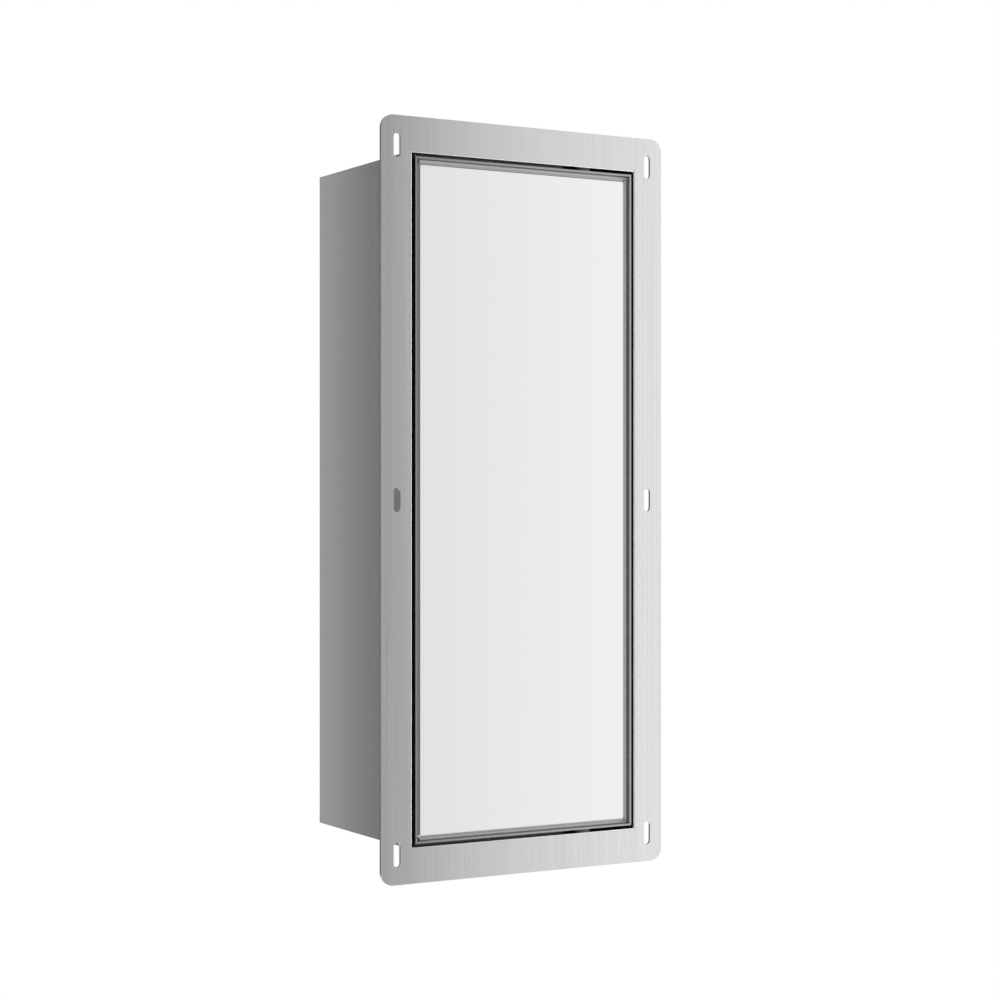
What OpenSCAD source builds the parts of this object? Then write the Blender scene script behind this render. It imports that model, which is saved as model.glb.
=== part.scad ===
// Recessed medicine cabinet with a flush mirror door, made of brushed stainless sheet.
// Millimetres. X runs to the right, Y into the wall and Z up. The origin is the centre of
// the flange's wall side, so the flange lies in front of the wall plane and the box behind it.

/* [Wall flange] */
// Width of the flange
flange_w = 240; // [215:1:400]
// Height of the flange
flange_h = 550; // [440:1:900]
// Sheet thickness of the flange
flange_t = 2; // [1.5:0.1:4]
// Radius of the flange's outer corners
flange_corner_r = 10; // [2:0.5:20]
// Width of the flange beside the opening
flange_side = 25; // [18:0.5:40]
// Width of the flange above and below the opening
flange_end = 26; // [18:0.5:40]
// Depth of the collar behind the wall plane
collar_d = 4; // [2.5:0.5:5.5]
// Radius of the bend round the opening
bend_r = 0.8; // [0.2:0.1:1.2]

/* [Fixing slots] */
// Width of a slot
slot_w = 5.5; // [3:0.1:8]
// Length of a slot, end to end
slot_len = 17.5; // [9:0.5:30]
// From a slot's centre to the flange's side edge
slot_side = 13; // [7:0.5:16]
// From a corner slot's centre to the flange's top or bottom edge
slot_end = 21.5; // [16:0.5:40]

/* [Box] */
// Depth of the box behind the wall plane
box_depth = 150; // [130:1:220]
// Sheet thickness of the box
box_t = 1.2; // [0.8:0.1:2.5]

/* [Door] */
// Gap between the door and the box on the latch side
gap_latch = 2.8; // [1.5:0.1:5]
// Clearance of the door's front edge from the side of the box as it swings past
swing_clear = 0.3; // [0.1:0.05:2]
// Gap above and below the door
gap_end = 2.3; // [1.5:0.1:4]
// Depth of the door from front to back
door_depth = 17; // [16.5:0.5:22]
// Thickness of the tray's side walls
rim_t = 1.5; // [1:0.1:2.5]
// Thickness of the tray's floor
floor_t = 1; // [0.8:0.1:1.6]
// Thickness of the back cover
cover_t = 1; // [0.8:0.1:1.6]

/* [Mirror] */
// How far the mirror lies behind the rim's front edge
mirror_recess = 3; // [0:0.5:4]
// Thickness of the glass
mirror_t = 4; // [3:0.5:5]
// Gap between the glass and the rim
mirror_gap = 2; // [0.5:0.1:5]
// Width of the bevel round the glass
bevel_w = 2; // [0.5:0.1:10]
// Depth of the bevel
bevel_d = 0.7; // [0.2:0.1:1.5]
// Thickness of the mounting tape
tape_t = 0.8; // [0.5:0.1:1.5]
// Width of a tape strip
tape_w = 19; // [10:1:30]

/* [Pivots] */
// From the door's hinge edge to the pivot axis
pivot_inset = 36; // [36:0.5:50]
// Radius of the lower pin and the upper bolt
pivot_r = 2.5; // [2:0.1:2.5]
// Radial clearance of the pivots in their bushes
pivot_clear = 0.05; // [0.02:0.01:0.1]
// Thickness of the plates welded to the box at the pivots
pivot_plate_t = 3; // [2:0.5:6]
// Travel of the spring bolt
bolt_travel = 6.5; // [5:0.5:8]

/* [Shelves] */
// Thickness of a glass shelf
shelf_t = 5; // [4:0.5:8]
// Clearance between a shelf and each side of the box
shelf_side_clear = 1.5; // [0.5:0.1:4]
// Clearance of the shelves' front edges from the open door
shelf_swing_clear = 1.5; // [0.5:0.5:20]
// Gap between a shelf and the back panel
shelf_back_gap = 3; // [1:0.5:10]
// Height of the shelves' undersides above and below the middle
shelf_height = 83; // [50:1:110]
// Radius of a shelf stud
stud_r = 2.5; // [2:0.1:4]
// Length of a shelf stud
stud_len = 12; // [8:0.5:20]

/* [Push latch] */
// Radius of the plunger
plunger_r = 3.5; // [3:0.1:4.5]
// Length of the latch housing
latch_len = 60; // [50:1:70]
// Width of the latch housing across the door
latch_w = 20; // [20:0.5:24]
// Height of the latch housing
latch_h = 18; // [14:1:24]
// How far the plunger can be pushed in
latch_travel = 2.5; // [1.5:0.1:4]

/* [Hidden] */
$fn = 64;

// The opening is the inside of the box, and the door lies in it, flush with the flange.
open_w = flange_w - 2 * flange_side;
open_h = flange_h - 2 * flange_end;
box_top = open_h / 2 + box_t;
front_y = -flange_t;
door_top = open_h / 2 - gap_end;
door_back = front_y + door_depth;
door_open = 110;

// The layers of the door, from the front: rim, glass, tape, floor, cavity and cover.
glass_y = front_y + mirror_recess;
tape_y = glass_y + mirror_t;
floor_y = tape_y + tape_t;
cavity_y = floor_y + floor_t;
cover_y = door_back - cover_t;
cavity_d = cover_y - cavity_y;

// The pivot axis runs through the middle of the cavity. The gap on the hinge side lets the
// door's front edge swing past the side of the box.
pivot_y = cavity_y + cavity_d / 2;
swing_r = norm([pivot_inset, pivot_y - front_y]);
door_left = -open_w / 2 + gap_latch;
door_right = open_w / 2 - (swing_r - pivot_inset) - swing_clear;
door_w = door_right - door_left;
door_mid = (door_left + door_right) / 2;
pivot_x = door_right - pivot_inset;
glass_w = door_w - 2 * (rim_t + mirror_gap);
glass_h = 2 * (door_top - rim_t - mirror_gap);
pivot_hole_clear = 0.5;
block_clear = 0.1;
block_d = cavity_d - 2 * block_clear;
block_w = 16;
block_h = 12;
plate_w = 34;
plate_front = 2.5;
plate_back = 24;
bush_r = pivot_r + 1.5;
bush_flange_r = pivot_r + 3;
bush_flange_t = 1;
washer_clear = 0.05;
pin_engage = 7;
pin_chamfer = 1;

// The spring bolt's parts lie below the door's top wall.
guide_gap = 26;
bolt_above = gap_end + box_t + pivot_plate_t - 0.7;
bolt_below = 4;
upper_guide_top = door_top - rim_t - block_clear;
lower_guide_top = upper_guide_top - block_h - guide_gap;
clip_t = 1;
clip_r = pivot_r + 0.6;
clip_z = upper_guide_top - block_h - clip_t - 0.5;
knob_shank_r = 1.4;
knob_head_r = 4;
knob_head_t = 4;
knob_gap = 1;
knob_z = clip_z - 4;
knob_slot_clear = 0.4;
spring_wire = 0.5;
spring_air = 0.1;
bolt_spring_r = pivot_r + spring_air + spring_wire / 2;

// The door closes on a seal held by angles along three sides. They end short of the hinge,
// where the door's edge swings in, and leave room for the latch and its ears.
latch_ear_w = 8;
seal_t = 3;
seal_w = 9;
seal_air = 0.1;
stop_w = 12;
stop_leg = 10;
stop_t = 1.2;
stop_clear = 0.7;
stop_y = door_back + seal_t;
stop_deep = stop_y + stop_leg - pivot_y;
back_offset = door_back - pivot_y;
stop_right = pivot_x - stop_clear
    + (stop_deep - back_offset * cos(door_open)) / tan(door_open) - back_offset * sin(door_open);
latch_room = latch_h / 2 + latch_ear_w + 9;

// Shelf studs stand inside the two sides of the box, in two rows.
shelf_front = pivot_y + swing_r + shelf_swing_clear;
stud_rows = [shelf_front + 12, box_depth - box_t - shelf_back_gap - 12];
sleeve_t = 1;
sleeve_len = stud_len - 1;
shelf_d = box_depth - box_t - shelf_back_gap - shelf_front;
shelf_w = open_w - 2 * shelf_side_clear;

// The push latch stands on two weld studs at the middle of the left side.
latch_ear_t = 3;
latch_axis_x = -open_w / 2 + latch_w / 2;
strike_t = 1.5;
strike_gap = 0.2;
plunger_clear = 0.05;
plunger_front = door_back + strike_t + strike_gap;
latch_y = plunger_front + 9;
latch_wall = 6;
magnet_t = 3;
plunger_len = 32;
latch_stud_r = 1.5;
latch_stud_len = 8;
latch_stud_y = latch_y + 12;
latch_stud_z = latch_h / 2 + latch_ear_w / 2;
latch_spring_r = plunger_r - 0.7;

steel = [0.72, 0.73, 0.74];
dark_steel = [0.55, 0.56, 0.58];

// A block given by its low corner and its high corner.
module span(low, high) {
    translate(low) cube(high - low);
}

// A bar that stands upright or lies along Y.
module bar_z(r, z0, z1) {
    translate([0, 0, z0]) cylinder(h = z1 - z0, r = r);
}

module bar_y(r, y0, y1) {
    translate([0, y0, 0]) rotate([-90, 0, 0]) cylinder(h = y1 - y0, r = r);
}

// Copies what it holds to both sides of the YZ plane, or above and below the middle.
module left_and_right() {
    children();
    mirror([1, 0, 0]) children();
}

module above_and_below() {
    children();
    mirror([0, 0, 1]) children();
}

// A wire coil along Z, swept as rings of a six-sided wire.
module coil(r, wire, length, turns) {
    sides = 6;
    steps = turns * 12;
    ring = function(i) [
        for (k = [0 : sides - 1])
            let (a = 360 * turns * i / steps, b = 360 * k / sides, q = r + wire / 2 * cos(b))
                [q * cos(a), q * sin(a), (length - wire) * i / steps + wire / 2 * (1 + sin(b))]
    ];
    points = [for (i = [0 : steps]) each ring(i)];
    skin = [
        for (i = [0 : steps - 1], k = [0 : sides - 1])
            let (n = (k + 1) % sides, a = i * sides, b = a + sides)
                each [[a + k, b + k, b + n], [a + k, b + n, a + n]]
    ];
    start_cap = [for (k = [0 : sides - 1]) k];
    end_cap = [for (k = [sides - 1 : -1 : 0]) steps * sides + k];
    polyhedron(points = points, faces = concat([start_cap], skin, [end_cap]), convexity = 10);
}

// ---- Wall flange ----

module flange_plate() {
    r = flange_corner_r;
    w = flange_w / 2;
    h = flange_h / 2;
    span([-w + r, front_y, -h], [w - r, 0, h]);
    span([-w, front_y, -h + r], [w, 0, h - r]);
    for (x = [-w + r, w - r], z = [-h + r, h - r]) {
        translate([x, 0, z]) bar_y(r, front_y, 0);
    }
}

module slot_hole() {
    straight = slot_len / 2 - slot_w / 2;
    span([-slot_w / 2, front_y - 1, -straight], [slot_w / 2, 1, straight]);
    for (z = [-straight, straight]) {
        translate([0, 0, z]) bar_y(slot_w / 2, front_y - 1, 1);
    }
}

// What rounds off one side of the opening, along Z, for an opening that starts at x = 0.
module bend_cut(length) {
    difference() {
        span([-1, front_y - 1, -length / 2], [bend_r, front_y + bend_r, length / 2]);
        translate([bend_r, front_y + bend_r, 0]) bar_z(bend_r, -length / 2 - 1, length / 2 + 1);
    }
}

// The flange turns back round the opening as a short collar that the box is welded to.
module flange_frame() {
    slot_x = flange_w / 2 - slot_side;
    slot_z = flange_h / 2 - slot_end;
    color(steel) difference() {
        union() {
            flange_plate();
            span([-open_w / 2 - box_t, front_y, -box_top], [open_w / 2 + box_t, collar_d, box_top]);
        }
        span([-open_w / 2, front_y - 1, -open_h / 2], [open_w / 2, collar_d + 1, open_h / 2]);
        left_and_right() translate([open_w / 2, 0, 0]) bend_cut(open_h + 2 * bend_r);
        above_and_below() translate([0, 0, open_h / 2]) rotate([0, -90, 0])
            bend_cut(open_w + 2 * bend_r);
        for (x = [-slot_x, slot_x], z = [-slot_z, 0, slot_z]) {
            translate([x, 0, z]) slot_hole();
        }
    }
}

// ---- Box ----

module side_panel() {
    color(steel) span([open_w / 2, collar_d, -box_top], [open_w / 2 + box_t, box_depth, box_top]);
}

module end_panel(hole_r) {
    color(steel) difference() {
        span([-open_w / 2, collar_d, open_h / 2], [open_w / 2, box_depth, box_top]);
        translate([pivot_x, pivot_y, 0]) bar_z(hole_r, open_h / 2 - 1, box_top + 1);
    }
}

module back_panel() {
    color(steel) span([-open_w / 2, box_depth - box_t, -open_h / 2], [open_w / 2, box_depth, open_h / 2]);
}

module pivot_plate(hole_r) {
    high = box_top + pivot_plate_t;
    color(dark_steel) difference() {
        span([pivot_x - plate_w / 2, plate_front, box_top], [pivot_x + plate_w / 2, plate_back, high]);
        translate([pivot_x, pivot_y, 0]) bar_z(hole_r, box_top - 1, high + 1);
    }
}

// ---- Pivots on the box ----

module upper_pivot_bush() {
    z = open_h / 2;
    color("ivory") translate([pivot_x, pivot_y, 0]) difference() {
        union() {
            bar_z(bush_flange_r, z - bush_flange_t, z);
            bar_z(bush_r, z - bush_flange_t, box_top + pivot_plate_t);
        }
        bar_z(pivot_r + pivot_clear, z - bush_flange_t - 1, box_top + pivot_plate_t + 1);
    }
}

// The pin's tip is chamfered, so that the tilted door finds it.
module lower_pivot_pin() {
    tip = -door_top + rim_t + pin_engage;
    color(dark_steel) translate([pivot_x, pivot_y, 0]) {
        bar_z(pivot_r, -box_top - pivot_plate_t, tip - pin_chamfer);
        translate([0, 0, tip - pin_chamfer])
            cylinder(h = pin_chamfer, r1 = pivot_r, r2 = pivot_r - pin_chamfer);
    }
}

module lower_thrust_washer() {
    z = -open_h / 2;
    color("ivory") translate([pivot_x, pivot_y, 0]) difference() {
        bar_z(bush_flange_r, z, z + gap_end - washer_clear);
        bar_z(pivot_r + pivot_clear, z - 1, z + gap_end + 1);
    }
}

// ---- Door stops and seals ----

// An angle along Z: one leg lies on the left wall, the other faces the door's back.
module stop_angle(z0, z1) {
    x = -open_w / 2;
    color(steel) {
        span([x, stop_y, z0], [x + stop_w, stop_y + stop_t, z1]);
        span([x, stop_y + stop_t, z0], [x + stop_t, stop_y + stop_leg, z1]);
    }
}

module end_stop_angle() {
    left = -open_w / 2 + stop_w;
    z = open_h / 2;
    color(steel) {
        span([left, stop_y, z - stop_w], [stop_right, stop_y + stop_t, z]);
        span([left, stop_y + stop_t, z - stop_t], [stop_right, stop_y + stop_leg, z]);
    }
}

module left_stop_angles() {
    above_and_below() stop_angle(latch_room, open_h / 2);
}

module end_seal() {
    left = -open_w / 2 + stop_w;
    z = open_h / 2;
    inset = (stop_w - seal_w) / 2;
    color("dimgray") span(
        [left, door_back + seal_air, z - stop_w + inset],
        [stop_right, stop_y, z - inset]
    );
}

module left_seals() {
    x = -open_w / 2 + (stop_w - seal_w) / 2;
    color("dimgray") above_and_below()
        span([x, door_back + seal_air, latch_room], [x + seal_w, stop_y, open_h / 2]);
}

// ---- Shelves ----

// Places what it holds at the four studs of a shelf, pointing into the box along X.
module at_studs(z) {
    for (y = stud_rows) {
        left_and_right() translate([-open_w / 2, y, z - stud_r - sleeve_t]) rotate([0, 90, 0]) children();
    }
}

module shelf_studs(z) {
    color(dark_steel) at_studs(z) cylinder(h = stud_len, r = stud_r);
}

module stud_sleeves(z) {
    color("gainsboro") at_studs(z) difference() {
        translate([0, 0, stud_len - sleeve_len]) cylinder(h = sleeve_len, r = stud_r + sleeve_t);
        translate([0, 0, -1]) cylinder(h = stud_len + 2, r = stud_r);
    }
}

module glass_shelf(z) {
    color("lightcyan", 0.5) span([-shelf_w / 2, shelf_front, z], [shelf_w / 2, shelf_front + shelf_d, z + shelf_t]);
}

// ---- Push latch ----

module latch_housing() {
    x = -open_w / 2;
    ear_z = latch_h / 2 + latch_ear_w;
    color("dimgray") difference() {
        union() {
            span([x, latch_y, -latch_h / 2], [x + latch_w, latch_y + latch_len, latch_h / 2]);
            span([x, latch_y, -ear_z], [x + latch_ear_t, latch_y + 24, ear_z]);
            translate([latch_axis_x, 0, 0]) bar_y(plunger_r + 1.5, latch_y - 3, latch_y + 1);
        }
        translate([latch_axis_x, 0, 0])
            bar_y(plunger_r + plunger_clear, latch_y - 4, latch_y + latch_len - latch_wall);
        for (z = [-latch_stud_z, latch_stud_z]) {
            translate([x - 1, latch_stud_y, z]) rotate([0, 90, 0])
                cylinder(h = latch_ear_t + 2, r = latch_stud_r + 0.2);
        }
    }
}

module latch_spring() {
    back = latch_y + latch_len - latch_wall;
    front = plunger_front + magnet_t + plunger_len;
    color(dark_steel) translate([latch_axis_x, front + 0.05, 0]) rotate([-90, 0, 0])
        coil(latch_spring_r, spring_wire, back - front - 0.1, 8);
}

// Places what it holds on the inside face of the left wall at the two latch studs.
module at_latch_studs() {
    for (z = [-latch_stud_z, latch_stud_z]) {
        translate([-open_w / 2, latch_stud_y, z]) rotate([0, 90, 0]) children();
    }
}

module latch_studs() {
    color(dark_steel) at_latch_studs() cylinder(h = latch_stud_len, r = latch_stud_r);
}

module latch_washers() {
    color("silver") at_latch_studs() translate([0, 0, latch_ear_t]) difference() {
        cylinder(h = 0.6, r = latch_stud_r + 1.8);
        translate([0, 0, -1]) cylinder(h = 3, r = latch_stud_r + 0.1);
    }
}

module latch_nuts() {
    color("silver") at_latch_studs() translate([0, 0, latch_ear_t + 0.6]) difference() {
        cylinder(h = 2.4, r = latch_stud_r * 2.1, $fn = 6);
        translate([0, 0, -1]) cylinder(h = 5, r = latch_stud_r);
    }
}

module latch_plunger() {
    y = plunger_front + magnet_t;
    color("dimgray") translate([latch_axis_x, 0, 0]) bar_y(plunger_r, y, y + plunger_len);
}

module plunger_magnet() {
    color("silver") translate([latch_axis_x, 0, 0])
        bar_y(plunger_r, plunger_front, plunger_front + magnet_t);
}

// ---- Door ----

module door_tray() {
    color(steel) difference() {
        span([door_left, front_y, -door_top], [door_right, door_back, door_top]);
        span(
            [door_left + rim_t, front_y - 1, -door_top + rim_t],
            [door_right - rim_t, floor_y, door_top - rim_t]
        );
        span(
            [door_left + rim_t, cavity_y, -door_top + rim_t],
            [door_right - rim_t, door_back + 1, door_top - rim_t]
        );
        translate([pivot_x, pivot_y, 0])
            bar_z(pivot_r + pivot_hole_clear, -door_top - 1, -door_top + rim_t + 1);
        translate([pivot_x, pivot_y, 0])
            bar_z(pivot_r + pivot_hole_clear, door_top - rim_t - 1, door_top + 1);
    }
}

// Posts in the cavity take the cover's screws, four up each side.
cover_edge = 12;
screw_x = [door_left + cover_edge, door_right - cover_edge];
screw_row = door_top - cover_edge - 8;
screw_z = [-screw_row, -screw_row / 3, screw_row / 3, screw_row];
post_r = 3.5;
screw_r = 1.25;

// A slot in the cover for the knob's shank to slide down in.
module knob_slot() {
    r = knob_shank_r + knob_slot_clear;
    span([pivot_x - r, cover_y - 1, knob_z - bolt_travel], [pivot_x + r, door_back + 1, knob_z]);
    for (z = [knob_z - bolt_travel, knob_z]) {
        translate([pivot_x, 0, z]) bar_y(r, cover_y - 1, door_back + 1);
    }
}

module door_back_cover() {
    edge = rim_t + block_clear;
    color(steel) difference() {
        span([door_left + edge, cover_y, -door_top + edge], [door_right - edge, door_back, door_top - edge]);
        knob_slot();
        for (x = screw_x, z = screw_z) {
            translate([x, 0, z]) bar_y(screw_r + 0.15, cover_y - 1, door_back + 1);
        }
        for (z = strike_screw_z) {
            translate([latch_axis_x, 0, z]) bar_y(screw_r + 0.15, cover_y - 1, door_back + 1);
        }
    }
}

module cover_screw() {
    bar_y(screw_r, cavity_y + 1.5, door_back + 0.2);
    bar_y(2.4, door_back, door_back + 1.1);
}

module door_cover_screws() {
    color("silver") for (x = screw_x, z = screw_z) {
        translate([x, 0, z]) cover_screw();
    }
}

// Two upright ribs and the posts for the screws, bonded to the tray's floor.
module door_stiffeners() {
    rib_w = 5;
    rib_x = [door_left + 38, pivot_x - 22];
    rib_end = door_top - 14;
    color(dark_steel) {
        for (x = rib_x) {
            span([x - rib_w / 2, cavity_y, -rib_end], [x + rib_w / 2, cover_y, rib_end]);
        }
        for (x = screw_x, z = screw_z) {
            translate([x, 0, z]) difference() {
                bar_y(post_r, cavity_y, cover_y);
                bar_y(screw_r, cavity_y + 1, cover_y + 1);
            }
        }
    }
}

module mirror_glass() {
    w = glass_w / 2;
    h = glass_h / 2;
    back = glass_y + mirror_t;
    color("white") translate([door_mid, 0, 0]) intersection() {
        linear_extrude(2 * h, center = true) polygon([
            [-w + bevel_w, glass_y], [w - bevel_w, glass_y], [w, glass_y + bevel_d],
            [w, back], [-w, back], [-w, glass_y + bevel_d]
        ]);
        rotate([90, 0, 90]) linear_extrude(2 * w, center = true) polygon([
            [glass_y, -h + bevel_w], [glass_y, h - bevel_w], [glass_y + bevel_d, h],
            [back, h], [back, -h], [glass_y + bevel_d, -h]
        ]);
    }
}

module mirror_tape() {
    strips = 4;
    pitch = glass_w / strips;
    h = glass_h / 2 - 12;
    color("gray") for (i = [0 : strips - 1]) {
        x = door_mid - glass_w / 2 + pitch * (i + 0.5);
        span([x - tape_w / 2, tape_y, -h], [x + tape_w / 2, floor_y, h]);
    }
}

// ---- Pivots in the door ----

module pivot_block(top, r) {
    color("ivory") translate([pivot_x, pivot_y, 0]) difference() {
        span([-block_w / 2, -block_d / 2, top - block_h], [block_w / 2, block_d / 2, top]);
        bar_z(r, top - block_h - 1, top + 1);
    }
}

module lower_pivot_block() {
    pivot_block(-door_top + rim_t + block_clear + block_h, pivot_r + pivot_clear);
}

module upper_bolt_guides() {
    pivot_block(upper_guide_top, pivot_r + pivot_clear);
    pivot_block(lower_guide_top, pivot_r + pivot_clear);
}

module pivot_bolt() {
    z0 = lower_guide_top - block_h - bolt_below;
    color("silver") translate([pivot_x, pivot_y, 0]) bar_z(pivot_r, z0, door_top + bolt_above);
}

module bolt_clip() {
    color(dark_steel) translate([pivot_x, pivot_y, 0]) difference() {
        bar_z(clip_r, clip_z, clip_z + clip_t);
        bar_z(pivot_r, clip_z - 1, clip_z + clip_t + 1);
    }
}

// The spring stands between the lower guide and the knob's shank, under the clip.
module bolt_spring() {
    top = knob_z - knob_shank_r - 0.3;
    color(dark_steel) translate([pivot_x, pivot_y, lower_guide_top + 0.1])
        coil(bolt_spring_r, spring_wire, top - lower_guide_top - 0.1, 7);
}

module bolt_thumb_knob() {
    shank_end = door_back + knob_gap;
    color("silver") translate([pivot_x, 0, knob_z]) {
        difference() {
            bar_y(knob_shank_r, pivot_y, shank_end + 0.5);
            translate([0, pivot_y, 0]) bar_z(pivot_r, -5, 5);
        }
        bar_y(knob_head_r, shank_end, shank_end + knob_head_t);
    }
}

// ---- Strike plate ----

strike_w = 10;
strike_h = 30;
strike_screw_z = [-10, 10];

module strike_plate() {
    x = latch_axis_x;
    color("silver") difference() {
        span([x - strike_w / 2, door_back, -strike_h / 2], [x + strike_w / 2, door_back + strike_t, strike_h / 2]);
        for (z = strike_screw_z) {
            translate([latch_axis_x, 0, z]) bar_y(screw_r + 0.15, door_back - 1, door_back + strike_t + 1);
        }
    }
}

module strike_screws() {
    color("silver") for (z = strike_screw_z) {
        translate([latch_axis_x, 0, z]) {
            bar_y(screw_r, cover_y - 3, door_back + strike_t + 0.2);
            bar_y(2.4, door_back + strike_t, door_back + strike_t + 1.1);
        }
    }
}

flange_frame();
mirror([1, 0, 0]) side_panel();  // left_side_panel
side_panel();  // right_side_panel
end_panel(bush_r);  // top_panel
mirror([0, 0, 1]) end_panel(pivot_r);  // bottom_panel
back_panel();
pivot_plate(bush_r);  // upper_pivot_plate
mirror([0, 0, 1]) pivot_plate(pivot_r);  // lower_pivot_plate
upper_pivot_bush();
lower_pivot_pin();
lower_thrust_washer();
end_stop_angle();  // top_stop_angle
mirror([0, 0, 1]) end_stop_angle();  // bottom_stop_angle
left_stop_angles();
end_seal();  // top_seal
mirror([0, 0, 1]) end_seal();  // bottom_seal
left_seals();
shelf_studs(-shelf_height);  // lower_shelf_studs
shelf_studs(shelf_height);  // upper_shelf_studs
stud_sleeves(-shelf_height);  // lower_stud_sleeves
stud_sleeves(shelf_height);  // upper_stud_sleeves
glass_shelf(-shelf_height);  // lower_glass_shelf
glass_shelf(shelf_height);  // upper_glass_shelf
latch_housing();
latch_spring();
latch_studs();
latch_washers();
latch_nuts();
latch_plunger();
plunger_magnet();
door_tray();
door_back_cover();
door_cover_screws();
door_stiffeners();
mirror_glass();
mirror_tape();
lower_pivot_block();
upper_bolt_guides();
bolt_spring();
strike_plate();
strike_screws();
pivot_bolt();
bolt_clip();
bolt_thumb_knob();
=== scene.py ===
import bpy, bmesh, math
from mathutils import Vector, Matrix


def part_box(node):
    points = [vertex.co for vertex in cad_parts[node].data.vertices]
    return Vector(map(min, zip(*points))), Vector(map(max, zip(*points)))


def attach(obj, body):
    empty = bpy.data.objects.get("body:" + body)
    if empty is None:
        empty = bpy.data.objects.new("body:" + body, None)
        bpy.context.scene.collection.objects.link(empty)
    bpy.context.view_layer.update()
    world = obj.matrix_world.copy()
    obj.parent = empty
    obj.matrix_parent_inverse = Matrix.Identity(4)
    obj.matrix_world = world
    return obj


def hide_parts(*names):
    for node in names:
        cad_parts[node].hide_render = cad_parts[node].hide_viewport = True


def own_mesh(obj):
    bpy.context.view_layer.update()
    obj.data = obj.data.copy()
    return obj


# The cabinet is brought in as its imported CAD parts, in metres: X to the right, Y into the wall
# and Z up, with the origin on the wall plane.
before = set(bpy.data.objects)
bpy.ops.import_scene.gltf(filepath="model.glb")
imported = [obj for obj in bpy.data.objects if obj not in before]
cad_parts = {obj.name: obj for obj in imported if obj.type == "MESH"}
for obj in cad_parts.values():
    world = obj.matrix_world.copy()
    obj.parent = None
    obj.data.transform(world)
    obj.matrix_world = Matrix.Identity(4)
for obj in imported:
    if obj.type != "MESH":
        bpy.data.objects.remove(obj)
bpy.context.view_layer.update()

# ---- Camera ----
# It stands level with the cabinet's middle, 1.6 m away and thirty degrees to the left of its
# front, so that the box's left side shows.
PLACE, TURN = (-0.8310, -1.4052, 0), math.radians(-29.957)
lens = bpy.data.cameras.new("camera")
lens.lens, lens.sensor_width = 79.57, 36
camera = bpy.data.objects.new("camera", lens)
camera.location = PLACE
camera.rotation_euler = (math.radians(90), 0, TURN)
bpy.context.scene.collection.objects.link(camera)
bpy.context.scene.camera = camera

# ---- Studio ----
# An even pale room, a floor well under the cabinet, four softboxes, and one large lit screen to
# the right. The screen is what the mirror shows, and it gives the brushed steel its long gradient.
bpy.context.scene.view_settings.view_transform = "Standard"


def linear(hex_colour, alpha=1.0):
    """An sRGB colour such as #C8C8C8 as the linear values that shaders take."""
    parts = [int(hex_colour[i:i + 2], 16) / 255 for i in (1, 3, 5)]
    return [c / 12.92 if c <= 0.04045 else ((c + 0.055) / 1.055) ** 2.4 for c in parts] + [alpha]


def node(tree, kind, links=None, **settings):
    """Adds a shader node with its settings; links gives each input a socket or a value."""
    made = tree.nodes.new("ShaderNode" + kind)
    for name, value in settings.items():
        setattr(made, name, value)
    for name, value in (links or {}).items():
        if isinstance(value, bpy.types.NodeSocket):
            tree.links.new(value, made.inputs[name])
        else:
            made.inputs[name].default_value = value
    return made


def finish(name, colour, **values):
    """A new material: its Principled shader takes the sRGB colour and any values named."""
    made = bpy.data.materials.new(name)
    made.use_nodes = True
    tree = made.node_tree
    tree.nodes.clear()
    shader = node(tree, "BsdfPrincipled", {"Base Color": linear(colour)})
    for socket, value in values.items():
        shader.inputs[socket.replace("_", " ")].default_value = value
    node(tree, "OutputMaterial", {"Surface": shader.outputs[0]})
    return made, tree, shader


# The room lights the cabinet evenly, and looks white behind it.
ROOM_LIGHT = 0.17
world = bpy.data.worlds.new("studio")
bpy.context.scene.world = world
world.use_nodes = True
tree = world.node_tree
tree.nodes.clear()
lit = node(tree, "Background", {"Color": (1, 1, 1, 1), "Strength": ROOM_LIGHT})
seen = node(tree, "Background", {"Color": (1, 1, 1, 1), "Strength": 1.0})
mix = node(tree, "MixShader", {0: node(tree, "LightPath").outputs["Is Camera Ray"],
                               1: lit.outputs[0], 2: seen.outputs[0]})
node(tree, "OutputWorld", {"Surface": mix.outputs[0]})


def softbox(name, place, target, width, height, watts):
    """A soft light standing at place and facing target."""
    lamp = bpy.data.lights.new(name, "AREA")
    lamp.shape, lamp.size, lamp.size_y, lamp.energy = "RECTANGLE", width, height, watts
    stand = bpy.data.objects.new(name, lamp)
    stand.location = place
    stand.rotation_euler = (Vector(target) - Vector(place)).to_track_quat("-Z", "Y").to_euler()
    stand.visible_camera = False
    bpy.context.scene.collection.objects.link(stand)


softbox("right_softbox", (0.75, -0.30, 0), (0, 0, 0), 0.3, 1.2, 3.5)
softbox("left_softbox", (-0.9, -0.5, 0), (0, 0, 0), 0.6, 1.2, 2.5)
softbox("rear_left_softbox", (-0.17, 0.30, 0), (-0.1, 0.14, 0), 0.05, 0.6, 0.037)
softbox("top_softbox", (-0.3, -0.8, 1.5), (0, 0, 0.1), 0.9, 0.6, 1.5)


def staged(name, mesh, material):
    """Part of the studio, made from a mesh and its material."""
    data = bpy.data.meshes.new(name)
    mesh.to_mesh(data)
    mesh.free()
    data.materials.append(material)
    thing = bpy.data.objects.new(name, data)
    bpy.context.scene.collection.objects.link(thing)
    return thing


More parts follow.
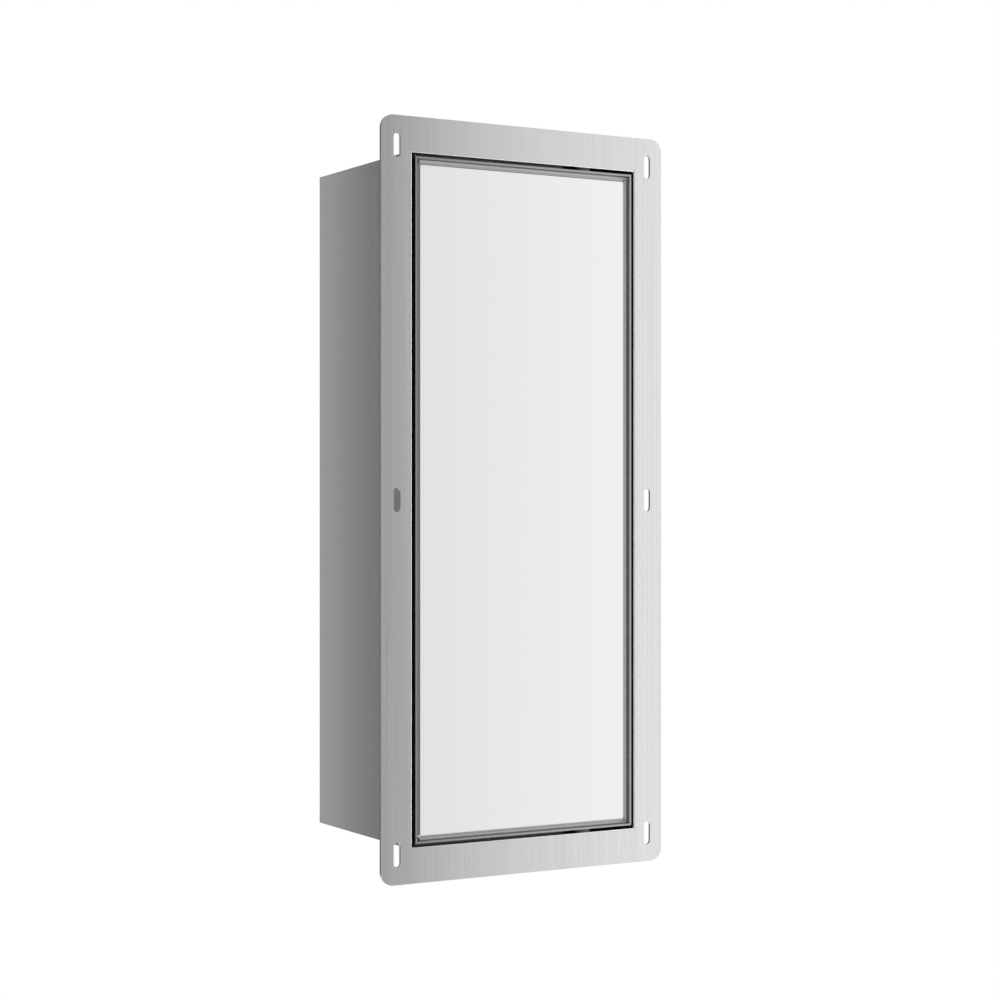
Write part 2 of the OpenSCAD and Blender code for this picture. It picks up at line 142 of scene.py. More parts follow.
# Matt white paper: a faint mottle and nothing else.
pale_paper, tree, shader = finish("matt white paper", "#F4F4F2", Roughness=0.85,
                                  Emission_Color=(1, 1, 1, 1), Emission_Strength=0.42)
mottle = node(tree, "TexNoise", {"Vector": node(tree, "TexCoord").outputs["Object"], "Scale": 9.0})
tone = node(tree, "MixRGB", {"Fac": mottle.outputs["Fac"], "Color1": linear("#F4F4F2"),
                             "Color2": linear("#EFEFED")})
tree.links.new(tone.outputs[0], shader.inputs["Base Color"])
FLOOR_R, FLOOR_Z = 2.0, -0.9
disc = bmesh.new()
bmesh.ops.create_circle(disc, cap_ends=True, radius=FLOOR_R, segments=96)
staged("floor", disc, pale_paper).location.z = FLOOR_Z

# Diffusion cloth on a frame, lit from behind: dark at its near edge, then brighter to the right.
cloth, tree, shader = finish("lit diffusion cloth", "#000000", Roughness=1.0, Emission_Color=(1, 1, 1, 1))
along = node(tree, "SeparateXYZ", {0: node(tree, "TexCoord").outputs["Generated"]})
hem = node(tree, "MapRange", {"Value": along.outputs["X"], "From Min": 0.01, "From Max": 0.07},
           interpolation_type="SMOOTHSTEP")
rise = node(tree, "MapRange", {"Value": along.outputs["X"], "To Min": 0.80, "To Max": 1.12})
glow = node(tree, "Math", {0: hem.outputs[0], 1: rise.outputs[0]}, operation="MULTIPLY")
tree.links.new(glow.outputs[0], shader.inputs["Emission Strength"])
SCREEN_W, SCREEN_H = 0.56, 1.2
sheet = bmesh.new()
sheet.faces.new([sheet.verts.new((x * SCREEN_W / 2, 0, z * SCREEN_H / 2))
                 for x, z in ((-1, -1), (1, -1), (1, 1), (-1, 1))])
screen = staged("lit_screen", sheet, cloth)
screen.location, screen.rotation_euler.z = (0.463, -0.538, 0), math.radians(31)
screen.visible_camera = False

# ---- Wall flange and box ----
# The flange is 2 mm stainless sheet, turned back round the opening as a short collar. The box
# behind it is 1.2 mm sheet, welded at its corners and to the collar. Both are brushed upright.
MM = 0.001


def streaks(tree, across, along, grain, detail=2.0):
    """Noise drawn out along the grain: across and along are its widths in millimetres."""
    scale = [1 / (across * MM)] * 3
    scale["XYZ".index(grain)] = 1 / (along * MM)
    drawn = node(tree, "Mapping", {"Vector": node(tree, "TexCoord").outputs["Object"], "Scale": scale})
    return node(tree, "TexNoise", {"Vector": drawn.outputs[0], "Scale": 1.0, "Detail": detail,
                                   "Roughness": 0.6}).outputs["Fac"]


def brushed_stainless(name, grain, colour="#E0E0E0", roughness=0.24):
    """Type 304 sheet, belt-brushed along one axis: grit lines that spread its reflections
    across the grain, a slow unevenness where the belt pressed harder, and a painted highlight:
    its rounded edges have a lightened base colour."""
    made, tree, shader = finish(name, colour, Metallic=1.0, Anisotropic=0.7)
    # Real grit lines are about 0.05 mm apart; they are drawn 0.8 mm apart so that they show.
    lines = streaks(tree, 0.8, 420.0, grain, detail=1.0)
    # Belt marks: bands some 14 mm wide and as long as the sheet.
    bands = streaks(tree, 14.0, 900.0, grain, detail=1.0)
    both = node(tree, "Math", {0: bands, 1: 0.35, 2: lines}, operation="MULTIPLY_ADD")
    worn = node(tree, "MapRange", {"Value": both.outputs[0], "From Min": 0.45, "From Max": 0.90})
    rough = node(tree, "MapRange", {"Value": worn.outputs[0], "To Min": roughness - 0.025,
                                    "To Max": roughness + 0.025})
    base = Vector(linear(colour)[:3])
    tone = node(tree, "MixRGB", {"Fac": worn.outputs[0], "Color1": [*(base * 0.94), 1],
                                 "Color2": [*(base * 1.04), 1]})
    # Painted highlight: along every rounded edge the base colour is lightened towards #F6F6F6, and the
    # roughness there is set to 0.30.
    face = node(tree, "VectorMath", {0: node(tree, "TexCoord").outputs["Normal"]}, operation="ABSOLUTE")
    way = node(tree, "SeparateXYZ", {0: face.outputs[0]})
    most = node(tree, "Math", {0: way.outputs["X"], 1: way.outputs["Y"]}, operation="MAXIMUM")
    most = node(tree, "Math", {0: most.outputs[0], 1: way.outputs["Z"]}, operation="MAXIMUM")
    edge = node(tree, "MapRange", {"Value": most.outputs[0], "From Min": 0.995, "From Max": 0.95})
    # The edge mask mixes in the painted highlight colour.
    tone = node(tree, "MixRGB", {"Fac": edge.outputs[0], "Color1": tone.outputs[0],
                                 "Color2": linear("#F6F6F6")})
    tree.links.new(tone.outputs[0], shader.inputs["Base Color"])
    rough = node(tree, "MapRange", {"Value": edge.outputs[0], "To Min": rough.outputs[0], "To Max": 0.30})
    tree.links.new(rough.outputs[0], shader.inputs["Roughness"])
    bump = node(tree, "Bump", {"Height": lines, "Strength": 0.02, "Distance": 0.02 * MM})
    tree.links.new(bump.outputs[0], shader.inputs["Normal"])
    # The highlight spreads across the grain, in the plane of the sheet.
    grain_way = [0.0, 0.0, 0.0]
    grain_way["XYZ".index(grain)] = 1.0
    across = node(tree, "VectorMath", {0: node(tree, "NewGeometry").outputs["Normal"], 1: grain_way},
                  operation="CROSS_PRODUCT")
    tree.links.new(across.outputs[0], shader.inputs["Tangent"])
    return made


def dress(name, material, round_mm=0.0):
    """Gives a CAD part its finish and rounds its edges a little, as deburred sheet has."""
    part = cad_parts[name]
    for place in part.material_slots:
        place.material = material
    if round_mm:
        weld = part.modifiers.new("weld", "WELD")
        weld.merge_threshold = 0.002 * MM
        flat = part.modifiers.new("join flat faces", "DECIMATE")
        flat.decimate_type, flat.angle_limit = "DISSOLVE", math.radians(0.4)
        edge = part.modifiers.new("deburred edges", "BEVEL")
        edge.width, edge.segments, edge.limit_method = round_mm * MM, 2, "ANGLE"
        edge.angle_limit, edge.harden_normals = math.radians(35), False
        edge.use_clamp_overlap = True
        shade = part.modifiers.new("flat faces stay flat", "WEIGHTED_NORMAL")
        shade.mode, shade.weight, shade.keep_sharp = "FACE_AREA", 100, False
    return part


upright_steel = brushed_stainless("brushed stainless steel, grain upright", "Z")
inward_steel = brushed_stainless("brushed stainless steel, grain front to back", "Y")

dress("flange_frame", upright_steel, 0.25)
for name in ("left_side_panel", "right_side_panel", "back_panel"):
    dress(name, upright_steel, 0.2)
for name in ("top_panel", "bottom_panel"):
    dress(name, inward_steel, 0.2)

# ---- Pivots on the box ----
# Bar stock welded outside the box backs the sheet where the door hangs. Below, a fixed turned
# pin carries the door on a nylon washer; above, a flanged nylon bush takes the spring bolt.
plain_bar, tree, shader = finish("hot-rolled stainless bar", "#A9A9A9", Metallic=1.0, Roughness=0.45)
scale_marks = node(tree, "TexNoise", {"Vector": node(tree, "TexCoord").outputs["Object"],
                                      "Scale": 450.0, "Detail": 4.0})
bump = node(tree, "Bump", {"Height": scale_marks.outputs["Fac"], "Strength": 0.3, "Distance": 0.03 * MM})
tree.links.new(bump.outputs[0], shader.inputs["Normal"])
for name in ("upper_pivot_plate", "lower_pivot_plate"):
    dress(name, plain_bar, 0.3)


def piece(name, mesh, body, material, smooth=True):
    """A modelled piece, riding on one of the bodies and belonging to one of the finishes."""
    made = mesh
    if isinstance(mesh, bmesh.types.BMesh):
        bmesh.ops.recalc_face_normals(mesh, faces=mesh.faces)
        made = bpy.data.meshes.new(name)
        mesh.to_mesh(made)
        mesh.free()
    if smooth:
        made.shade_smooth()
        made.set_sharp_from_angle(angle=math.radians(40))
    made.materials.clear()
    made.materials.append(material)
    thing = bpy.data.objects.new(name, made)
    bpy.context.scene.collection.objects.link(thing)
    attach(thing, body)
    return thing


def sweep(mesh, path, radius, sides):
    """Adds a round bar along a path; radius may change from point to point."""
    path = [Vector(point) for point in path]
    last = len(path) - 1
    rings = []
    side = Vector((0.0, 0.0, 0.0))
    for i, point in enumerate(path):
        ahead = (path[min(i + 1, last)] - path[max(i - 1, 0)]).normalized()
        side = side - ahead * side.dot(ahead)
        if side.length < 1e-6:
            side = ahead.orthogonal()
        side.normalize()
        other = ahead.cross(side)
        thick = radius[i] if hasattr(radius, "__len__") else radius
        rings.append([mesh.verts.new(point + (side * math.cos(t) + other * math.sin(t)) * thick)
                      for t in [2 * math.pi * k / sides for k in range(sides)]])
    for one, two in zip(rings, rings[1:]):
        for k in range(sides):
            mesh.faces.new((one[k], one[(k + 1) % sides], two[(k + 1) % sides], two[k]))
    mesh.faces.new(rings[0])
    mesh.faces.new(rings[-1])


# The plates are held by fillet welds in short runs: ripples 1.2 mm apart along each run.
weld_metal, tree, shader = finish("stainless weld metal", "#8F8B86", Metallic=1.0, Roughness=0.36)
tint = node(tree, "TexNoise", {"Vector": node(tree, "TexCoord").outputs["Object"], "Scale": 160.0,
                               "Detail": 3.0})
tone = node(tree, "MixRGB", {"Fac": tint.outputs["Fac"], "Color1": linear("#7A756E"),
                             "Color2": linear("#A9A49A")})
tree.links.new(tone.outputs[0], shader.inputs["Base Color"])
WELD_R, RIPPLE = 0.9 * MM, 1.2 * MM
beads = bmesh.new()
for name in ("upper_pivot_plate", "lower_pivot_plate"):
    lo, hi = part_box(name)
    z = lo[2] if lo[2] > 0 else hi[2]
    runs = []
    for x in (lo[0], hi[0]):
        runs += [((x, y, z), (x, y + 6 * MM, z)) for y in (lo[1] + 2.5 * MM, hi[1] - 8 * MM)]
    runs += [((x, hi[1], z), (x + 8 * MM, hi[1], z)) for x in (lo[0] + 4 * MM, hi[0] - 12 * MM)]
    for start, end in runs:
        start, end = Vector(start), Vector(end)
        count = int((end - start).length / RIPPLE * 6)
        path = [start.lerp(end, i / count) for i in range(count + 1)]
        swell = [WELD_R * (0.78 + 0.14 * abs(math.sin(math.pi * i / 6))) for i in range(count + 1)]
        # Each run starts and stops thin.
        for i, share in ((0, 0.45), (1, 0.8), (count - 1, 0.8), (count, 0.45)):
            swell[i] *= share
        sweep(beads, path, swell, 10)
piece("pivot_plate_welds", beads, "cabinet", weld_metal)


def turned_steel(name, axis):
    """Bar turned on a lathe: fine rings round its axis from the tool."""
    made, tree, shader = finish(name, "#C2C2C2", Metallic=1.0, Roughness=0.24)
    # Tool marks about 0.15 mm apart.
    rings = node(tree, "TexWave", {"Vector": node(tree, "TexCoord").outputs["Object"],
                                   "Scale": 0.314 / (0.15 * MM),
                                   "Distortion": 0.4}, bands_direction=axis)
    bump = node(tree, "Bump", {"Height": rings.outputs["Fac"], "Strength": 0.25, "Distance": 0.01 * MM})
    tree.links.new(bump.outputs[0], shader.inputs["Normal"])
    return made


turned_upright = turned_steel("turned stainless bar, upright", "Z")
turned_sideways = turned_steel("turned stainless bar, sideways", "X")
turned_depth = turned_steel("turned stainless bar, front to back", "Y")
dress("lower_pivot_pin", turned_upright, 0.15)

# Moulded nylon: warm white, a little light passes into it, and a faint moulded grain.
nylon, tree, shader = finish("moulded natural nylon", "#E6E3D8", Roughness=0.42, IOR=1.53)
shader.inputs["Subsurface Weight"].default_value = 0.15
shader.inputs["Subsurface Scale"].default_value = 1.0 * MM
grainy = node(tree, "TexNoise", {"Vector": node(tree, "TexCoord").outputs["Object"], "Scale": 900.0,
                                 "Detail": 3.0})
bump = node(tree, "Bump", {"Height": grainy.outputs["Fac"], "Strength": 0.15, "Distance": 0.02 * MM})
tree.links.new(bump.outputs[0], shader.inputs["Normal"])
for name in ("upper_pivot_bush", "lower_thrust_washer"):
    dress(name, nylon, 0.2)

# ---- Door stops and seals ----
# Folded stainless angles spot-welded inside the box, with self-adhesive closed-cell foam on
# their front faces for the door to close against.
for name in ("top_stop_angle", "bottom_stop_angle", "left_stop_angles"):
    dress(name, upright_steel, 0.2)

foam, tree, shader = finish("black closed-cell foam", "#17181A", Roughness=0.9)
# Cells about 0.5 mm across.
cells = node(tree, "TexVoronoi", {"Vector": node(tree, "TexCoord").outputs["Object"],
                                  "Scale": 1 / (0.5 * MM)})
bump = node(tree, "Bump", {"Height": cells.outputs["Distance"], "Strength": 0.5, "Distance": 0.12 * MM})
tree.links.new(bump.outputs[0], shader.inputs["Normal"])
tone = node(tree, "MixRGB", {"Fac": cells.outputs["Distance"], "Color1": linear("#101113"),
                             "Color2": linear("#26282A")})
tree.links.new(tone.outputs[0], shader.inputs["Base Color"])
for name in ("top_seal", "bottom_seal", "left_seals"):
    dress(name, foam, 0.6)

# ---- Shelves ----
# Two panes of 5 mm float glass with ground edges. Each lies on four stainless studs in clear
# silicone sleeves.
for name in ("lower_shelf_studs", "upper_shelf_studs"):
    dress(name, turned_sideways, 0.2)

silicone, tree, shader = finish("clear silicone", "#E9EDEE", Roughness=0.35, IOR=1.41)
shader.inputs["Transmission Weight"].default_value = 0.6
shader.inputs["Subsurface Weight"].default_value = 0.2
shader.inputs["Subsurface Scale"].default_value = 1.0 * MM
haze = node(tree, "TexNoise", {"Vector": node(tree, "TexCoord").outputs["Object"], "Scale": 300.0})
rough = node(tree, "MapRange", {"Value": haze.outputs["Fac"], "To Min": 0.28, "To Max": 0.45})
tree.links.new(rough.outputs[0], shader.inputs["Roughness"])
for name in ("lower_stud_sleeves", "upper_stud_sleeves"):
    dress(name, silicone, 0.2)

# Float glass is green where light runs a long way in it, so its ground edges are the green part.
shelf_glass, tree, shader = finish("float glass with ground edges", "#F3FAF7", Roughness=0.0, IOR=1.52)
shader.inputs["Transmission Weight"].default_value = 1.0
facing = node(tree, "SeparateXYZ", {0: node(tree, "TexCoord").outputs["Normal"]})
flat = node(tree, "Math", {0: facing.outputs["Z"]}, operation="ABSOLUTE")
edge = node(tree, "MapRange", {"Value": flat.outputs[0], "From Min": 0.85, "From Max": 0.6})
smear = node(tree, "TexNoise", {"Vector": node(tree, "TexCoord").outputs["Object"], "Scale": 25.0,
                                "Detail": 3.0})
wiped = node(tree, "MapRange", {"Value": smear.outputs["Fac"], "From Min": 0.45, "From Max": 0.8,
                                "To Max": 0.05})
ground = node(tree, "Math", {0: edge.outputs[0], 1: 0.22, 2: wiped.outputs[0]}, operation="MULTIPLY_ADD")
tree.links.new(ground.outputs[0], shader.inputs["Roughness"])
green = node(tree, "MixRGB", {"Fac": edge.outputs[0], "Color1": linear("#F3FAF7"),
                              "Color2": linear("#9CC9B8")})
tree.links.new(green.outputs[0], shader.inputs["Base Color"])
for name in ("lower_glass_shelf", "upper_glass_shelf"):
    dress(name, shelf_glass, 0.5)

# ---- Push latch ----
# A moulded black housing on two weld studs. Its sprung plunger, with a magnet in its nose,
# holds the door's strike plate, and throws the door out when the door is pressed.
black_plastic, tree, shader = finish("black moulded ABS", "#161718", Roughness=0.5, IOR=1.53)
# Spark-eroded mould texture, about 0.2 mm.
texture = node(tree, "TexNoise", {"Vector": node(tree, "TexCoord").outputs["Object"],
                                  "Scale": 1 / (0.4 * MM), "Detail": 2.0})
bump = node(tree, "Bump", {"Height": texture.outputs["Fac"], "Strength": 0.35, "Distance": 0.04 * MM})
tree.links.new(bump.outputs[0], shader.inputs["Normal"])
rough = node(tree, "MapRange", {"Value": texture.outputs["Fac"], "To Min": 0.42, "To Max": 0.6})
tree.links.new(rough.outputs[0], shader.inputs["Roughness"])
dress("latch_housing", black_plastic, 0.5)
dress("latch_plunger", black_plastic, 0.3)

nickel, tree, shader = finish("nickel-plated magnet", "#C9C6BF", Metallic=1.0, Roughness=0.14)
rub = node(tree, "TexNoise", {"Vector": node(tree, "TexCoord").outputs["Object"], "Scale": 700.0,
                              "Detail": 4.0})
rough = node(tree, "MapRange", {"Value": rub.outputs["Fac"], "To Min": 0.08, "To Max": 0.3})
tree.links.new(rough.outputs[0], shader.inputs["Roughness"])
dress("plunger_magnet", nickel, 0.3)

zinc, tree, shader = finish("bright zinc-plated steel", "#BFC3C6", Metallic=1.0, Roughness=0.27)
passivated = node(tree, "TexNoise", {"Vector": node(tree, "TexCoord").outputs["Object"],
                                     "Scale": 260.0, "Detail": 3.0})
tone = node(tree, "MixRGB", {"Fac": passivated.outputs["Fac"], "Color1": linear("#B3BAC4"),
                             "Color2": linear("#C9C8C0")})
tree.links.new(tone.outputs[0], shader.inputs["Base Color"])
rough = node(tree, "MapRange", {"Value": passivated.outputs["Fac"], "To Min": 0.2, "To Max": 0.36})
tree.links.new(rough.outputs[0], shader.inputs["Roughness"])
for name in ("latch_washers", "latch_nuts"):
    dress(name, zinc, 0.12)

# M3 thread on the studs: ridges 0.5 mm apart along the stud.
threaded, tree, shader = finish("zinc-plated thread", "#B9BDC2", Metallic=1.0, Roughness=0.3)
ridges = node(tree, "TexWave", {"Vector": node(tree, "TexCoord").outputs["Object"],
                                "Scale": 0.314 / (0.5 * MM)}, bands_direction="Y")
bump = node(tree, "Bump", {"Height": ridges.outputs["Fac"], "Strength": 0.9, "Distance": 0.25 * MM})
tree.links.new(bump.outputs[0], shader.inputs["Normal"])
dress("latch_studs", threaded)

spring_wire, tree, shader = finish("drawn spring wire", "#8E9092", Metallic=1.0, Roughness=0.3)
drawn = node(tree, "TexNoise", {"Vector": node(tree, "TexCoord").outputs["Object"], "Scale": 1200.0})
rough = node(tree, "MapRange", {"Value": drawn.outputs["Fac"], "To Min": 0.22, "To Max": 0.4})
tree.links.new(rough.outputs[0], shader.inputs["Roughness"])


def coil(name, replaced, way, outer_r, turns, body):
    """A compression spring with closed ends, lying along the axis named by way."""
    steps_a_turn, wire, clear = 24, 0.25 * MM, 0.033 * MM
    lo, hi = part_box(replaced)
    middle, size = (lo + hi) / 2, hi - lo
    along = Vector([1.0 if letter == way else 0.0 for letter in "XYZ"])
    reach = size.dot(along)
    start = middle - along * (reach / 2)
    # The shoulder that it is squeezed against stands just clear of that end.
    side = along.orthogonal().normalized()
    other = along.cross(side)
    radius = outer_r - wire
    length = reach - 2 * wire
    steps = int(turns * steps_a_turn)
    path = []
    for i in range(steps + 1):
        turn = i / steps_a_turn
        # The first and last turns lie almost flat; the rest are spaced evenly.
        if turn < 1:
            rise = turn * 2 * wire
        elif turn > turns - 1:
            rise = length - (turns - turn) * 2 * wire
        else:
            rise = 2 * wire + (length - 4 * wire) * (turn - 1) / (turns - 2)
        angle = 2 * math.pi * turn
        spoke = side * math.cos(angle) + other * math.sin(angle)
        path.append(start + along * (wire + rise) + spoke * radius)
    mesh = bmesh.new()
    sweep(mesh, path, wire, 10)
    made = piece(name, mesh, body, spring_wire)
    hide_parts(replaced)
    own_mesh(made)


coil("latch_coil_spring", "latch_spring", "Y", 3.05 * MM, 12, "cabinet")

# ---- Door tray and cover ----
# A tray of stainless sheet, folded up round its edge, with the mirror sunk into its front and a
# sheet cover screwed into its back. Ribs and screw posts stand between the two.
tray_steel, tree, shader = finish("mill-finish stainless steel", "#A6A6A6", Metallic=1.0, Roughness=0.3)
# Cold-rolled 2B surface: a fine even mottle about 0.6 mm across, with faint rolling bands.
mottle = node(tree, "TexNoise", {"Vector": node(tree, "TexCoord").outputs["Object"],
                                 "Scale": 1 / (1.2 * MM), "Detail": 3.0})
rolled = streaks(tree, 6.0, 500.0, "Z", detail=1.0)
both = node(tree, "Math", {0: mottle.outputs["Fac"], 1: rolled}, operation="ADD")
rough = node(tree, "MapRange", {"Value": both.outputs[0], "From Min": 0.5, "From Max": 1.5,
                                "To Min": 0.24, "To Max": 0.38})
tree.links.new(rough.outputs[0], shader.inputs["Roughness"])
tone = node(tree, "MixRGB", {"Fac": both.outputs[0], "Color1": linear("#9E9E9E"),
                             "Color2": linear("#ACACAC")})
tree.links.new(tone.outputs[0], shader.inputs["Base Color"])
bump = node(tree, "Bump", {"Height": mottle.outputs["Fac"], "Strength": 0.05, "Distance": 0.01 * MM})
tree.links.new(bump.outputs[0], shader.inputs["Normal"])
dress("door_tray", tray_steel, 0.4)
dress("door_back_cover", upright_steel, 0.15)
dress("door_stiffeners", plain_bar, 0.2)

# ---- Mirror ----
# Silvered 4 mm float glass with a narrow bevel, held by strips of foam tape. Seen from the front
# it is nearly a perfect mirror; its ground sides are grey-green.
mirror, tree, shader = finish("silvered float glass", "#F1F4F3", Metallic=1.0, Roughness=0.008)
facing = node(tree, "SeparateXYZ", {0: node(tree, "TexCoord").outputs["Normal"]})
silvered = node(tree, "MapRange", {"Value": facing.outputs["Y"], "From Min": -0.2, "From Max": -0.3})
tone = node(tree, "MixRGB", {"Fac": silvered.outputs[0], "Color1": linear("#7C8F88"),
                             "Color2": linear("#F5F5F5")})
tree.links.new(tone.outputs[0], shader.inputs["Base Color"])
tree.links.new(silvered.outputs[0], shader.inputs["Metallic"])
wipes = node(tree, "TexNoise", {"Vector": node(tree, "TexCoord").outputs["Object"], "Scale": 14.0,
                                "Detail": 4.0})
clean = node(tree, "MapRange", {"Value": wipes.outputs["Fac"], "From Min": 0.5, "From Max": 0.85,
                                "To Min": 0.006, "To Max": 0.03})
rough = node(tree, "MixRGB", {"Fac": silvered.outputs[0], "Color1": (0.35, 0.35, 0.35, 1),
                              "Color2": clean.outputs[0]})
tree.links.new(rough.outputs[0], shader.inputs["Roughness"])
lo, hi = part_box("mirror_glass")
BEVEL_W, BEVEL_D, ARRIS, CORNER = 2.0 * MM, 0.7 * MM, 0.3 * MM, 1.4 * MM
pane = bmesh.new()


def outline(cut, corner, y):
    """The pane's outline, cut down by so much all round, with its corners clipped."""
    ring = []
    for x, z, first in ((lo[0] + cut, lo[2] + cut, 0), (hi[0] - cut, lo[2] + cut, 1),
                        (hi[0] - cut, hi[2] - cut, 0), (lo[0] + cut, hi[2] - cut, 1)):
        inward_x, inward_z = math.copysign(corner, -x), math.copysign(corner, -z)
        ends = [(x, y, z + inward_z), (x + inward_x, y, z)]
        ring += [pane.verts.new(place) for place in (ends if not first else ends[::-1])]
    return ring


rings = [outline(BEVEL_W, CORNER * 0.35, lo[1]), outline(0, CORNER, lo[1] + BEVEL_D),
         outline(0, CORNER, hi[1] - ARRIS), outline(ARRIS, CORNER, hi[1])]
for one, two in zip(rings, rings[1:]):
    for k in range(8):
        pane.faces.new((one[k], one[(k + 1) % 8], two[(k + 1) % 8], two[k]))
pane.faces.new(rings[0])
pane.faces.new(rings[-1])
thing = piece("bevelled_mirror_pane", pane, "door", mirror, smooth=False)
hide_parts("mirror_glass")

# A half-round bead of translucent silicone fills the slit round the glass. It is run along the
# top, right and bottom in one go, and up the left side, stopping short of the left corners.
sealant, tree, shader = finish("translucent silicone sealant", "#D8D8D8", Roughness=0.38, IOR=1.41)
skin = node(tree, "TexNoise", {"Vector": node(tree, "TexCoord").outputs["Object"], "Scale": 400.0,
                               "Detail": 2.0})
bump = node(tree, "Bump", {"Height": skin.outputs["Fac"], "Strength": 0.2, "Distance": 0.05 * MM})
tree.links.new(bump.outputs[0], shader.inputs["Normal"])
tone = node(tree, "MixRGB", {"Fac": skin.outputs["Fac"], "Color1": linear("#CFCFCF"),
                             "Color2": linear("#DEDEDE")})
tree.links.new(tone.outputs[0], shader.inputs["Base Color"])
SLIT, BEAD_TOP, BEAD_EDGE, BEAD_BACK = 2.0 * MM, 1.3 * MM, 2.0 * MM, 4.8 * MM
profile = [(0.02 * MM, BEAD_BACK)]
profile += [(SLIT / 2 - math.cos(math.pi * k / 8) * (SLIT / 2 - 0.02 * MM),
             BEAD_EDGE - math.sin(math.pi * k / 8) * (BEAD_EDGE - BEAD_TOP)) for k in range(9)]
profile += [(SLIT - 0.02 * MM, BEAD_BACK)]
bead = bmesh.new()
GAP = 1.6 * MM
for axis, side, start, stop in ((2, 1, lo[0] + GAP, hi[0] + SLIT), (2, -1, lo[0] + GAP, hi[0] + SLIT),
                                (0, 1, lo[2], hi[2]), (0, -1, lo[2] + GAP, hi[2] - GAP)):
    wall = hi[axis] + SLIT if side > 0 else lo[axis] - SLIT
    rings = []
    for end in (start, stop):
        ring = []
        for step, y in profile:
            point = [0.0, y, 0.0]
            point[axis], point[2 - axis] = wall - side * step, end
            ring.append(bead.verts.new(point))
        rings.append(ring)
    for k in range(len(profile)):
        nxt = (k + 1) % len(profile)
        bead.faces.new((rings[0][k], rings[0][nxt], rings[1][nxt], rings[1][k]))
    bead.faces.new(rings[0])
    bead.faces.new(rings[1])
piece("mirror_sealant_bead", bead, "door", sealant)

tape, tree, shader = finish("grey foam tape", "#6E7173", Roughness=0.95)
pores = node(tree, "TexVoronoi", {"Vector": node(tree, "TexCoord").outputs["Object"],
                                  "Scale": 1 / (0.6 * MM)})
bump = node(tree, "Bump", {"Height": pores.outputs["Distance"], "Strength": 0.5, "Distance": 0.1 * MM})
tree.links.new(bump.outputs[0], shader.inputs["Normal"])
dress("mirror_tape", tape)

# ---- Fittings in the door ----
# Nylon blocks hold the lower pin and guide the spring bolt. The bolt is drawn down by a knob
# that comes out through a slot in the cover, and a coil spring sends it up again.
for name in ("lower_pivot_block", "upper_bolt_guides"):
    dress(name, nylon, 0.3)
dress("pivot_bolt", turned_upright, 0.3)
dress("bolt_clip", spring_wire, 0.1)
coil("bolt_coil_spring", "bolt_spring", "Z", 3.1 * MM, 8, "door")
dress("strike_plate", zinc, 0.3)


def lathe(mesh, place, profile, steps=32, ridge=0.0):
    """Turns a profile of (radius, height) pairs about Y at place; ridge knurls its widest part."""
    rings, widest = [], max(r for r, y in profile)
    for radius, y in profile:
        ring = []
        for k in range(steps):
            r = radius - (ridge if k % 2 and radius > widest - 0.05 * MM else 0.0)
            t = 2 * math.pi * k / steps
            around = Vector((r * math.cos(t), y, r * math.sin(t)))
            ring.append(mesh.verts.new(Vector(place) + around))
        rings.append(ring)
    for one, two in zip(rings, rings[1:]):
        for k in range(steps):
            mesh.faces.new((one[k], one[(k + 1) % steps], two[(k + 1) % steps], two[k]))
    mesh.faces.new(rings[0])
    mesh.faces.new(rings[-1])


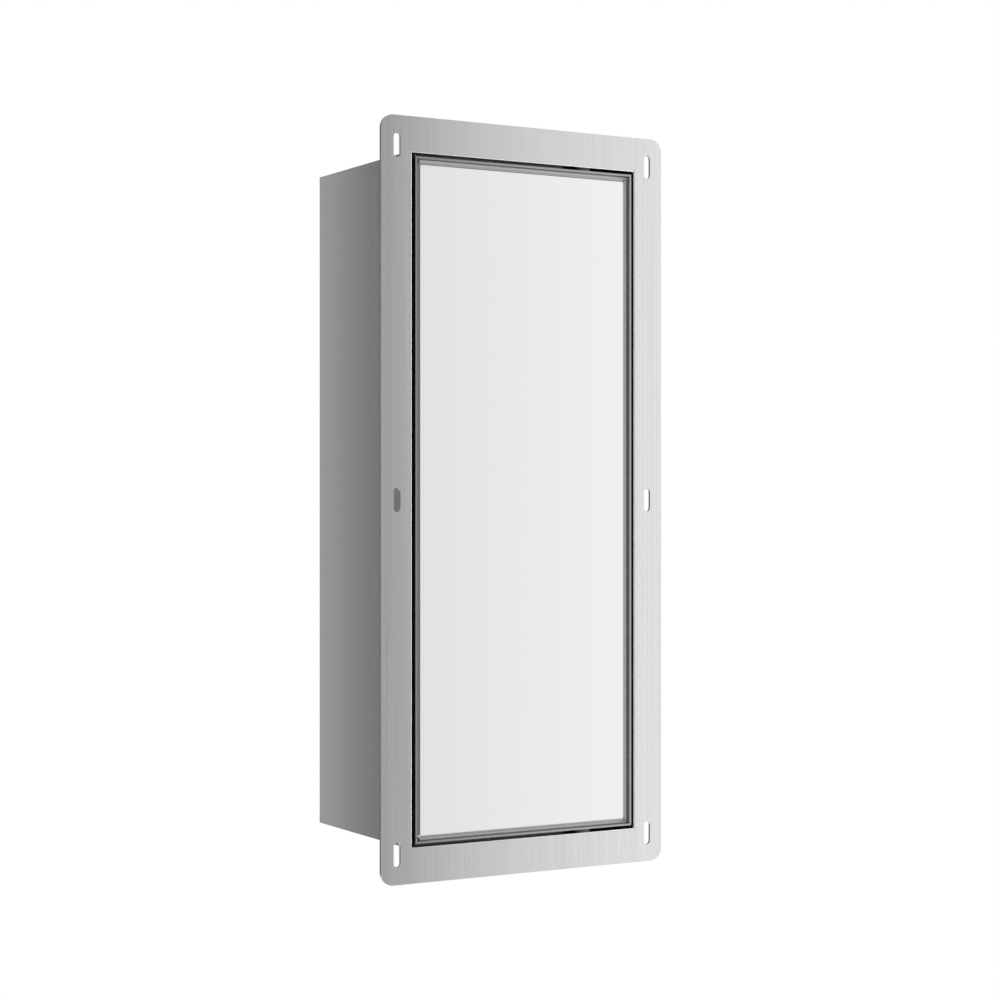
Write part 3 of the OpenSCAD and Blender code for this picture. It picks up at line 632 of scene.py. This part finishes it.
def recessed_screws(name, places, head_r, head_h, shank_r, shank_h, replaced, turn=0.0):
    """Pan-head screws with a cross recess, their heads towards the back of the door."""
    made = bmesh.new()
    heads = bmesh.new()
    dome = [(1.0, 0.0), (1.0, 0.35), (0.93, 0.72), (0.72, 0.93), (0.35, 1.0)]
    lathe(heads, (0, 0, 0), [(shank_r, -shank_h), (shank_r, 0)] + [(head_r * r, head_h * y) for r, y in dome])
    cross = bmesh.new()
    for quarter in (0, math.pi / 2):
        arm, thick, deep = head_r * 0.58, head_r * 0.13, head_h * 0.75
        corners = [[cross.verts.new(Matrix.Rotation(quarter, 3, "Y") @ Vector((x * size, y, z * thick)))
                    for x, z in ((-1, -1), (1, -1), (1, 1), (-1, 1))]
                   for size, y in ((arm * 0.45, head_h - deep), (arm * 1.25, head_h * 1.5))]
        low, high = corners
        for k in range(4):
            cross.faces.new((low[k], low[(k + 1) % 4], high[(k + 1) % 4], high[k]))
        cross.faces.new(low)
        cross.faces.new(high)
    parts = []
    for shape in (heads, cross):
        bmesh.ops.recalc_face_normals(shape, faces=shape.faces)
        data = bpy.data.meshes.new("screw stage")
        shape.to_mesh(data)
        shape.free()
        parts.append(bpy.data.objects.new("screw stage", data))
        bpy.context.scene.collection.objects.link(parts[-1])
    cut = parts[0].modifiers.new("cross recess", "BOOLEAN")
    cut.operation, cut.object, cut.solver, cut.use_self = "DIFFERENCE", parts[1], "EXACT", True
    one = bpy.data.meshes.new_from_object(parts[0].evaluated_get(bpy.context.evaluated_depsgraph_get()))
    for part in parts:
        bpy.data.objects.remove(part)
    for i, place in enumerate(places):
        single = one.copy()
        single.transform(Matrix.Translation(place) @ Matrix.Rotation(turn + i * 2.1, 4, "Y"))
        made.from_mesh(single)
    thing = piece(name, made, "door", zinc)
    thing.data.set_sharp_from_angle(angle=math.radians(28))
    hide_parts(replaced)
    return thing


SCREW_R, SCREW_HEAD, SHANK_R, SHANK = 2.4 * MM, 1.1 * MM, 1.2 * MM, 5.0 * MM
lo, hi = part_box("door_cover_screws")
seat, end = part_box("door_back_cover")[1].y, hi.z - SCREW_R
places = [(x, seat, z) for x in (lo.x + SCREW_R, hi.x - SCREW_R) for z in (-end, -end / 3, end / 3, end)]
recessed_screws("cover_cross_screws", places, SCREW_R, SCREW_HEAD, SHANK_R, SHANK, "door_cover_screws")
lo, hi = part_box("strike_screws")
seat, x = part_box("strike_plate")[1].y, (lo.x + hi.x) / 2
places = [(x, seat, z) for z in (lo.z + SCREW_R, hi.z - SCREW_R)]
recessed_screws("strike_cross_screws", places, SCREW_R, SCREW_HEAD, SHANK_R, SHANK, "strike_screws", 0.6)

# The knob's radius in millimetres, from its stem outwards, and how far it stands from the wall.
KNOB = [(1.4, 12.5), (1.4, 16.0), (3.4, 16.0), (4.0, 16.5),
        (4.0, 19.3), (3.5, 19.9), (2.6, 19.9), (2.2, 19.6)]
lo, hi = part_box("bolt_thumb_knob")
knob = bmesh.new()
lathe(knob, ((lo.x + hi.x) / 2, 0, (lo.z + hi.z) / 2), [(r * MM, y * MM) for r, y in KNOB], 72, 0.18 * MM)
thing = piece("knurled_bolt_knob", knob, "pivot_bolt", turned_depth)
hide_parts("bolt_thumb_knob")
